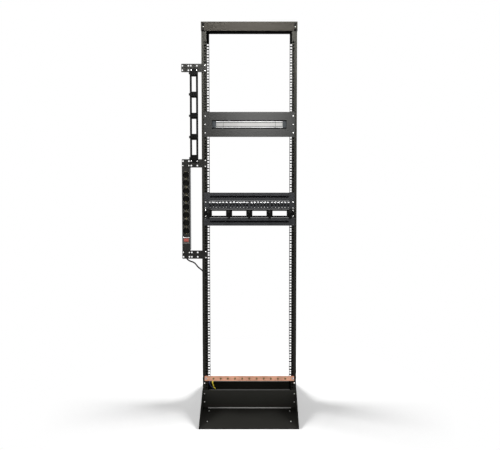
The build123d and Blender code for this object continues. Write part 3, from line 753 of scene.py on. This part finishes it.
# %% Grid of rail holes
UNIT = 0.04445
HOLE_STEPS = (0.00635, 0.022225, 0.0381)
COLUMN = 0.23255
TOP_MARGIN = 0.0531
FRONT = (0.0, -1.0, 0.0)
units_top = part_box("top_crossbar")[0][2] - TOP_MARGIN


def hole(unit, step):
    """Height of a rail hole, by unit and by hole in the unit, counted from the top."""
    return units_top - unit * UNIT - HOLE_STEPS[step]


def front_of(node):
    """Where a piece's front face is."""
    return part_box(node)[0][1]


def on_front(node, spots):
    """Places on the front of a piece."""
    return [((x, front_of(node), z), FRONT) for x, z in spots]


def columns(*holes):
    """Both columns of the rail, at some holes."""
    return [(x, hole(*one)) for x in (-COLUMN, COLUMN) for one in holes]


print("top of the units:", round(units_top, 4), "m")

# %% [markdown]
# The panels hang on both posts, and the side brackets on the left post alone. The cable organiser
# and the socket strip are held by four screws each, in their ears, on the side brackets.

# %% Screws on the panels
PANEL_SCREW = 0.0058
SIDE_BOLTS = 0.015875
EAR_EDGE = 0.00875
BRACKET_HOLES = {
    "upper_side_bracket": ((2, 2), (3, 1)),
    "middle_side_bracket": ((14, 0), (14, 2)),
    "lower_side_bracket": ((25, 0), (25, 2)),
}


def ear_bolts(node):
    """Places in the ears of a piece that hangs upright on the side brackets."""
    low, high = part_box(node)
    return on_front(node, [
        (middle_of(node)[0] + across, z)
        for across in (-SIDE_BOLTS, SIDE_BOLTS)
        for z in (low[2] + EAR_EDGE, high[2] - EAR_EDGE)
    ])


post_screws = on_front("rail_panel", columns((8, 2), (9, 2), (10, 2)))
post_screws += on_front("patch_panel", columns((19, 0), (19, 2)))
post_screws += on_front("ring_panel", columns((20, 0), (20, 2)))
for bracket, holes in BRACKET_HOLES.items():
    post_screws += on_front(bracket, [(-COLUMN, hole(*one)) for one in holes])
ear_screws = ear_bolts("side_organiser_panel") + ear_bolts("socket_strip_ends")
brush_screws = on_front("upper_brush_panel", columns((18, 0), (18, 2)))
brush_screws += on_front("lower_brush_panel", columns((21, 0), (21, 2)))
set_parts("panel_screws", cross_screw, post_screws + ear_screws, nickel, "zinc", PANEL_SCREW, FULL_TURN)
set_parts(
    "brush_panel_screws", cross_screw, brush_screws, black_zinc, "panel_paint", PANEL_SCREW, FULL_TURN
)

# %% [markdown]
# Behind each panel screw sits a cage nut: a square nut in a spring clip that snaps into the rail
# hole. It shows from behind, inside the open side of the post. Its places are the screws' own
# places, moved back to the inner face of the post.

# %% Cage nuts
NUT_HALF = 0.0056
NUT_DEEP = 0.0055
NUT_BORE = 0.0031
CLIP_HALF = 0.0068
CLIP_SHEET = 0.0009
POST_SHEET = 0.002

nut = blocks("nut", [((-NUT_HALF, -NUT_HALF, -NUT_DEEP), (NUT_HALF, NUT_HALF, -CLIP_SHEET))], bevel=0.0006)
bore = lathe("bore", [(0, -1), (NUT_BORE, -1), (NUT_BORE, 1), (0, 1)])
clip = blocks("clip", [
    ((-CLIP_HALF, -NUT_HALF, -CLIP_SHEET), (CLIP_HALF, NUT_HALF, 0)),
    ((-CLIP_HALF, -NUT_HALF, -NUT_DEEP), (CLIP_SHEET - CLIP_HALF, NUT_HALF, -CLIP_SHEET)),
    ((CLIP_HALF - CLIP_SHEET, -NUT_HALF, -NUT_DEEP), (CLIP_HALF, NUT_HALF, -CLIP_SHEET)),
])
cage_nut = joined("cage_nut", [carved(nut, bore), clip])
flange_back = front_of("left_post") + POST_SHEET
nut_places = [((x, flange_back, z), FRONT) for (x, y, z), way in post_screws + brush_screws]
set_parts("cage_nuts", cage_nut, nut_places, nickel, "zinc")

# %% [markdown]
# The frame's own bolts sit on the crossbar, the posts, the plinth panels and the floor plate. They
# are the same on both sides, so a loop over `sides` makes left and right together.

# %% Frame bolts
CROSSBAR_BOLT = 0.0110
CROSSBAR_BOLT_X = 0.242
CROSSBAR_BOLT_HEIGHTS = (2.0665, 2.0390)
CROSSBAR_RIVET = 0.0034
CROSSBAR_RIVET_HEIGHT = 2.0527
BASE_BOLT = 0.0054
BASE_BOLT_X = 0.243
POST_BOLT_HEIGHT = 0.1435
PLINTH_BOLT_HEIGHTS = (0.086, 0.040)
FLOOR_BOLT_INSET = 0.035
FLOOR_BOLT_DEPTHS = (0.101, 0.225)
BACK = (0.0, 1.0, 0.0)
UP = (0.0, 0.0, 1.0)
sides = (-1, 1)
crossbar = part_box("top_crossbar")
floor_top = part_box("floor_plate")[1][2]
floor_bolt_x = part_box("right_post")[1][0] - FLOOR_BOLT_INSET


def crossbar_places(*heights):
    """Both ends of the crossbar, in front and behind, at some heights."""
    faces = ((FRONT, crossbar[0][1]), (BACK, crossbar[1][1]))
    return [((side * CROSSBAR_BOLT_X, y, z), way) for side in sides for way, y in faces for z in heights]


base_bolts = [((side * BASE_BOLT_X, front_of("left_post"), POST_BOLT_HEIGHT), FRONT) for side in sides]
for side in sides:
    for z in PLINTH_BOLT_HEIGHTS:
        base_bolts.append(((side * BASE_BOLT_X, front_of("front_plinth_panel"), z), FRONT))
        base_bolts.append(((side * BASE_BOLT_X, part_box("rear_plinth_panel")[1][1], z), BACK))
    for y in FLOOR_BOLT_DEPTHS:
        base_bolts.append(((side * floor_bolt_x, -y, floor_top), UP))
        base_bolts.append(((side * floor_bolt_x, y, floor_top), UP))
bolt_places = crossbar_places(*CROSSBAR_BOLT_HEIGHTS)
rivet_places = crossbar_places(CROSSBAR_RIVET_HEIGHT)
set_parts("crossbar_bolts", hex_bolt, bolt_places, bolt_black, "frame_paint", CROSSBAR_BOLT, FULL_TURN)
set_parts("crossbar_rivets", cross_screw, rivet_places, nickel, "zinc", CROSSBAR_RIVET, FULL_TURN)
set_parts("base_bolts", cross_screw, base_bolts, nickel, "zinc", BASE_BOLT, FULL_TURN)

# %% [markdown]
# ## Brushes
# A cable passes a brush panel between two rows of bristles that meet in the middle of the slot. Hair
# particles would not survive an export, so the tree `bristles` sets a thin cone of a few faces on
# every root and leans each a little by chance.

# %% Geometry Nodes: bristles
BRISTLE_SIDES = 5
BRISTLE_TAPER = 0.75

bristles, tree, given, result = new_group("bristles", "GeometryNodeTree", {
    "Geometry": "Geometry", "Length": "Float", "Thickness": "Float", "Lean": "Float", "Seed": "Int",
    "Finish": "Material",
}, {"Geometry": "Geometry"})
cone = tree.add("GeometryNodeMeshCone", Vertices=BRISTLE_SIDES, Depth=given["Length"])
tree.feed(cone, "Radius Bottom", given["Thickness"])
tree.feed(cone, "Radius Top", tree.math("MULTIPLY", given["Thickness"], BRISTLE_TAPER))
chance = tree.add("FunctionNodeRandomValue", {"data_type": "FLOAT_VECTOR"}, Seed=given["Seed"])
tree.feed(chance, "#0", (-1.0, -1.0, 0.0))
leaned = tree.add("FunctionNodeRotateRotation", {"rotation_space": "LOCAL"}, Rotation=facing_turn(tree))
tree.feed(leaned, "Rotate By", tree.scaled(chance.outputs[0], given["Lean"]))
rows = tree.add("GeometryNodeInstanceOnPoints", Points=given["Geometry"], Instance=cone.outputs[0])
tree.feed(rows, "Rotation", leaned.outputs[0])
end_tree(tree, rows.outputs[0], given["Finish"], result)
print("nodes in the tree:", len(bristles.nodes))

# %% [markdown]
# Each row has four lines of bristles, each line a little along from the last, with their roots in
# metal strips. In the physics plain slabs stand for the rows, and here the bristles replace them.

# %% Bristles in both brush panels
BRISTLE_PITCH = 0.0011
BRISTLE_LINES = (-0.0015, -0.0005, 0.0005, 0.0015)
BRISTLE_MARGIN = 0.0015
BRISTLE_OVERLAP = 0.0008
BRISTLE_THICK = 0.0006
BRISTLE_LEAN = 0.05
HOLDER_HEIGHT = 0.0046
HOLDER_PLAY = 0.0002
DOWN = (0.0, 0.0, -1.0)


def brush(node, seed):
    """Two facing rows of bristles, and the metal strips that hold their roots."""
    low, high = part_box(node)
    first = low[0] + BRISTLE_MARGIN
    width = high[0] - low[0] - 2 * BRISTLE_MARGIN
    count = round(width / BRISTLE_PITCH)
    roots = [
        ((first + width * (step + number / len(BRISTLE_LINES)) / count, middle_of(node)[1] + y, z), way)
        for z, way in ((high[2], DOWN), (low[2], UP))
        for number, y in enumerate(BRISTLE_LINES)
        for step in range(count)
    ]
    piece = grown(
        node + "_bristles", bristles, roots, "bristle",
        Length=(high[2] - low[2]) / 2 + BRISTLE_OVERLAP, Thickness=BRISTLE_THICK, Lean=BRISTLE_LEAN,
        Seed=seed, Finish=bristle_black,
    )
    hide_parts(node)
    strips = [
        ((low[0], low[1] + HOLDER_PLAY, low[2]), (high[0], high[1], low[2] + HOLDER_HEIGHT)),
        ((low[0], low[1] + HOLDER_PLAY, high[2] - HOLDER_HEIGHT), (high[0], high[1], high[2])),
    ]
    holders = node + "_holders"
    plain_piece(holders, blocks(holders, strips, bevel=0.0004), panel_paint)


brush("upper_brush", 11)
brush("lower_brush", 12)

# %% [markdown]
# ## Sockets
# A raised collar runs round each well of the socket strip. In the well sits a floor with two pin
# holes and a spring contact at the top and the bottom. Each is made once, on the lathe or from
# blocks, and set eight times by the same tree as the screws.

# %% Shapes of a socket
COLLAR = [
    (0.0186, -0.0002), (0.0186, 0.0006), (0.0192, 0.0010), (0.0203, 0.0010),
    (0.0208, 0.0006), (0.0208, -0.0002), (0.0186, -0.0002),
]
ROUND_SIDES = 40
WELL_RADIUS = 0.0183
WELL_DEEP = 0.0150
FLOOR_THICK = 0.0035
PIN_SPREAD = 0.0095
PIN_RADIUS = 0.0027
PIN_DEEP = 0.0135
SPRING_HALF = 0.0022
SPRING_REACH = 0.0166
SPRING_SHEET = 0.0005
SPRING_TOP = -0.0025
well_floor = FLOOR_THICK - WELL_DEEP


def pin_hole(x):
    """A round bore beside the middle of a well."""
    mesh = lathe("pin_hole", [(0, -PIN_DEEP), (PIN_RADIUS, -PIN_DEEP), (PIN_RADIUS, 0), (0, 0)])
    for vert in mesh.vertices:
        vert.co.x += x
    return mesh


collar = lathe("collar", COLLAR, ROUND_SIDES)
disc = [(0, -WELL_DEEP), (WELL_RADIUS, -WELL_DEEP), (WELL_RADIUS, well_floor), (0, well_floor)]
pin_holes = joined("pin_holes", [pin_hole(PIN_SPREAD), pin_hole(-PIN_SPREAD)])
insert = carved(lathe("well_floor", disc, ROUND_SIDES), pin_holes)
contacts = blocks("contacts", [
    (
        (-SPRING_HALF, side * SPRING_REACH - SPRING_SHEET, well_floor),
        (SPRING_HALF, side * SPRING_REACH + SPRING_SHEET, SPRING_TOP),
    )
    for side in sides
], bevel=0.0003)
print("faces of a socket's floor:", len(insert.polygons))

# %% Sockets on the strip
SOCKETS = 8
SOCKET_FIRST = 0.039
SOCKET_PITCH = 0.0427
STRIP_END = 0.002
strip_x = middle_of("socket_strip_face")[0]
strip_front = front_of("socket_strip_face")
first_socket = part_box("socket_strip_housing")[1][2] + STRIP_END - SOCKET_FIRST
socket_places = [
    ((strip_x, strip_front, first_socket - SOCKET_PITCH * number), FRONT) for number in range(SOCKETS)
]
# Collars with a painted highlight, well floors with painted shade.
set_parts("socket_collars", collar, socket_places, collar_plastic, "strip_plastic")
set_parts("socket_inserts", insert, socket_places, insert_plastic, "strip_plastic")
set_parts("socket_contacts", contacts, socket_places, brass, "zinc")

# %% [markdown]
# ## Marks
# A light bar is printed over the switch and a thin line under it. The patch panel has a small light
# field under each port. A black film over its labels is painted shade. Print could be a mask in a
# finish, but a film a fifth of a millimetre thick stays sharp from any distance.

# %% Printed marks
FILM = 0.0002
SWITCH_BAR_DOWN = 0.0022
SWITCH_BAR_HALF = (0.0170, 0.0018)
SWITCH_LINE_DOWN = 0.0018
SWITCH_LINE_HALF = (0.0180, 0.0008)
PORT_FIELD_DOWN = 0.0125
PORT_FIELD_HALF = (0.0024, 0.0016)
BAND_HALF = 0.2150
BAND_PLAY = 0.0008


def films(name, fields, material):
    """Thin printed fields, each by its middle, half width and half height."""
    boxes = [
        ((x - wide, y - FILM, z - high), (x + wide, y, z + high)) for x, y, z, wide, high in fields
    ]
    plain_piece(name, blocks(name, boxes), material)
    print(name, "fields:", len(fields))


switch_low, switch_high = (corner[2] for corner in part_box("switch_bezel"))
switch_bar = (strip_x, front_of("switch_bezel"), switch_high - SWITCH_BAR_DOWN, *SWITCH_BAR_HALF)
switch_line = (strip_x, strip_front, switch_low - SWITCH_LINE_DOWN, *SWITCH_LINE_HALF)
films("switch_bar", [switch_bar], white_print)
films("switch_line", [switch_line], grey_print)

port_x = [
    GROUP_PITCH * (group - (PORT_GROUPS - 1) / 2) + PORT_PITCH * (port - (PORTS_IN_GROUP - 1) / 2)
    for group in range(PORT_GROUPS)
    for port in range(PORTS_IN_GROUP)
]
port_z = hole(19, 1)
panel_front = front_of("patch_panel")
port_fields = [(x, panel_front, port_z - PORT_FIELD_DOWN, *PORT_FIELD_HALF) for x in port_x]
films("port_fields", port_fields, grey_print)

# A black film over the labels: painted shade at the top of the patch panel.
label_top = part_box("patch_labels")[1][2]
panel_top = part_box("patch_panel")[1][2]
band = (0, panel_front, (label_top + panel_top) / 2, BAND_HALF, (panel_top - label_top) / 2 - BAND_PLAY)
films("label_edge", [band], bolt_black)

# %% [markdown]
# Eight spring contacts lie along the top of each port, where a plug's own contacts press on them.
# They are one comb of thin blocks, set in all the ports at once.

# %% Port contacts
CONTACTS = 8
CONTACT_PITCH = 0.00102
CONTACT_HALF = 0.00024
CONTACT_LOW = (0.0025, 0.0024)
CONTACT_HIGH = (0.0125, 0.0030)

contact_x = [CONTACT_PITCH * (number - (CONTACTS - 1) / 2) for number in range(CONTACTS)]
comb = blocks("comb", [
    ((x - CONTACT_HALF, *CONTACT_LOW), (x + CONTACT_HALF, *CONTACT_HIGH)) for x in contact_x
])
port_places = [((x, front_of("patch_jacks"), port_z), UP) for x in port_x]
# The contacts are dark black zinc as painted shade: deep in the ports they stand in shadow.
set_parts("port_contacts", comb, port_places, black_zinc, "copper")

# %% [markdown]
# ## The earth bar
# Two bolts hold the bar on its insulators, and a row of small brass screws waits for earth wires.
# They take their height from the bar itself, so they stay on its middle line.

# %% Screws on the earth bar
BAR_SCREW = 0.0105
BAR_SCREW_PITCH = 0.0385
BAR_SCREWS_EACH_SIDE = 5
BAR_END_BOLT = 0.0085
bar_z = middle_of("earth_bar")[2]
bar_steps = range(-BAR_SCREWS_EACH_SIDE, BAR_SCREWS_EACH_SIDE + 1)
bar_screws = on_front("earth_bar", [(BAR_SCREW_PITCH * step, bar_z) for step in bar_steps])
bar_ends = on_front("earth_bar", [(side * COLUMN, bar_z) for side in sides])
set_parts("bar_screws", slot_screw, bar_screws, dark_brass, "copper", BAR_SCREW, FULL_TURN)
set_parts("bar_bolts", hex_bolt, bar_ends, steel, "zinc", BAR_END_BOLT, FULL_TURN)

# %% [markdown]
# ## Cords
# A cord is one smooth curve: a NURBS spline whose control points are the listed places where
# the cord bends. Straight runs with rounded corners would look like bent wire. The mains cord comes
# out of the strip's gland, goes behind the left post and down to the floor plate.

# %% Route of the mains cord
CORD_DIAMETER = 0.0075
MAINS_ROUTE = [
    (-0.3462, -0.047, 0.8544), (-0.3462, -0.047, 0.8444), (-0.3434, -0.0457, 0.8312),
    (-0.3367, -0.0424, 0.8182), (-0.3274, -0.0366, 0.808), (-0.3179, -0.0267, 0.8007),
    (-0.302, -0.002, 0.79), (-0.2925, 0.018, 0.773), (-0.284, 0.038, 0.7555),
    (-0.2736, 0.058, 0.741), (-0.2625, 0.076, 0.727), (-0.254, 0.085, 0.704),
    (-0.249, 0.087, 0.67), (-0.247, 0.085, 0.615), (-0.249, 0.087, 0.53),
    (-0.247, 0.084, 0.44), (-0.2495, 0.086, 0.35), (-0.247, 0.0845, 0.265),
    (-0.248, 0.086, 0.19), (-0.245, 0.084, 0.132), (-0.24, 0.0815, 0.09),
    (-0.23, 0.0785, 0.056), (-0.213, 0.0765, 0.029),
]
PLUG_ROUTE = [
    (-0.1985, 0.0815, 0.0163), (-0.18, 0.0795, 0.0166), (-0.152, 0.079, 0.0178),
    (-0.131, 0.1, 0.0232), (-0.131, 0.129, 0.03), (-0.152, 0.15, 0.0368),
    (-0.1725, 0.15, 0.0388),
]
print("points by hand:", len(MAINS_ROUTE) + len(PLUG_ROUTE))

# %% [markdown]
# The spare length lies in a flat coil behind the rear plinth panel. Its turns follow a rule, so they
# are worked out by a loop: an outer turn, an inner one beside it, and one on top that leads to the
# plug.

# %% Coil of spare cord
COIL_MIDDLE = Vector((-0.1975, 0.120, 0.0))
COIL_START = radians(-72)
COIL_STEP = radians(30)
OUTER_TURN = 0.04575
INNER_TURN = 0.0355
TOP_TURN = 0.0370
ENTRY_HEIGHT = 0.0165
LOW_LAYER = 0.00875
HIGH_LAYER = 0.01625
# A stage is turns from the start, radius and height.
COIL_STAGES = [
    (0.0, OUTER_TURN, ENTRY_HEIGHT),
    (0.17, OUTER_TURN, LOW_LAYER),
    (0.85, OUTER_TURN, LOW_LAYER),
    (1.1, INNER_TURN, LOW_LAYER),
    (1.85, INNER_TURN, LOW_LAYER),
    (2.1, TOP_TURN, HIGH_LAYER),
    (2.95, TOP_TURN, HIGH_LAYER),
]

coil = []
for (turn, radius, height), (next_turn, next_radius, next_height) in zip(COIL_STAGES, COIL_STAGES[1:]):
    steps = max(1, round((next_turn - turn) * 2 * pi / COIL_STEP))
    for step in range(steps):
        share = step / steps
        angle = COIL_START + 2 * pi * (turn + (next_turn - turn) * share)
        reach = radius + (next_radius - radius) * share
        z = height + (next_height - height) * share
        coil.append(tuple(COIL_MIDDLE + Vector((reach * cos(angle), reach * sin(angle), z))))
print("points of the coil:", len(coil))

# %% [markdown]
# The order of the spline is set after its points, because set before, it would leave straight runs.
# The finished cord stands for the plain tube and ring of the frame, and its plug and gland go with it.

# %% Mains cord
def cord(name, points, diameter, material):
    """A round cord along one smooth spline."""
    curve = bpy.data.curves.new(name, "CURVE")
    curve.dimensions = "3D"
    spline = curve.splines.new("NURBS")
    spline.points.add(len(points) - 1)
    for knot, point in zip(spline.points, points):
        knot.co = (*point, 1.0)
    spline.order_u = 3
    spline.use_endpoint_u = True
    spline.resolution_u = 6
    curve.bevel_depth = diameter / 2
    curve.bevel_resolution = 4
    curve.use_fill_caps = True
    curve.materials.append(material)
    piece = linked(name, curve)
    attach(piece, "rack")
    return piece


mains = cord("mains_lead", MAINS_ROUTE + coil + PLUG_ROUTE, CORD_DIAMETER, cord_rubber)
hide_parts("mains_cord", "mains_cord_coil")
print("points of the mains cord:", len(mains.data.splines[0].points))

# %% [markdown]
# Two short earth wires hang from the bar down to the floor plate, each with a crimped sleeve under
# the bar. Their routes are measured from the lower edge of the bar, so they stay on it.

# %% Earth wires
WIRE_DIAMETER = 0.0046
YELLOW_ROUTE = [
    (-0.197, 0.0, 0.0), (-0.197, 0.0, -0.013), (-0.193, 0.004, -0.028),
    (-0.1925, 0.014, -0.041), (-0.19, 0.027, -0.0485), (-0.187, 0.0395, -0.0565),
    (-0.185, 0.0472, -0.071), (-0.184, 0.05, -0.096), (-0.1845, 0.049, -0.127),
]
BLUE_ROUTE = [
    (-0.214, 0.0, 0.0), (-0.214, 0.0, -0.012), (-0.21, 0.004, -0.027),
    (-0.205, 0.013, -0.04), (-0.201, 0.027, -0.048), (-0.1985, 0.0395, -0.0565),
    (-0.197, 0.0477, -0.072), (-0.198, 0.0505, -0.097), (-0.197, 0.0495, -0.128),
]
SLEEVE = [(0, -0.016), (0.0026, -0.016), (0.0034, -0.013), (0.0034, -0.001), (0.0030, 0.0), (0, 0.0)]
bar_y = middle_of("earth_bar")[1]
bar_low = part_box("earth_bar")[0][2]


def earth_wire(name, node, slot, route, material):
    """A wire from the bar down to the floor plate, with a crimped sleeve."""
    points = [(x, bar_y + y, bar_low + z) for x, y, z in route]
    points.append((*points[-1][:2], floor_top))
    wire = cord(name, points, WIRE_DIAMETER, material)
    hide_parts(node)
    sleeve = set_parts(name + "_sleeve", lathe("sleeve", SLEEVE), [(points[0], UP)], material, slot)


earth_wire("yellow_wire", "yellow_earth_wire", "yellow_sleeve", YELLOW_ROUTE, yellow_sleeve)
earth_wire("blue_wire", "blue_earth_wire", "blue_sleeve", BLUE_ROUTE, blue_sleeve)

# %% [markdown]
# ## Sealing strip
# A light strip closes the slit under the front plinth panel. It is one long block, and a small bevel
# gives its edges the rounding that soft rubber has.

# %% Sealing strip
SEAL_HALF = 0.224
SEAL_THICK = 0.002
SEAL_PLAY = 0.0003
plinth_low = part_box("front_plinth_panel")[0]
seal_box = (
    (-SEAL_HALF, plinth_low[1], floor_top),
    (SEAL_HALF, plinth_low[1] + SEAL_THICK, plinth_low[2] - SEAL_PLAY),
)
plain_piece("plinth_seal", blocks("plinth_seal", [seal_box], bevel=0.0006), seal_grey)
print("sealing strip:", 2 * SEAL_HALF, "m")
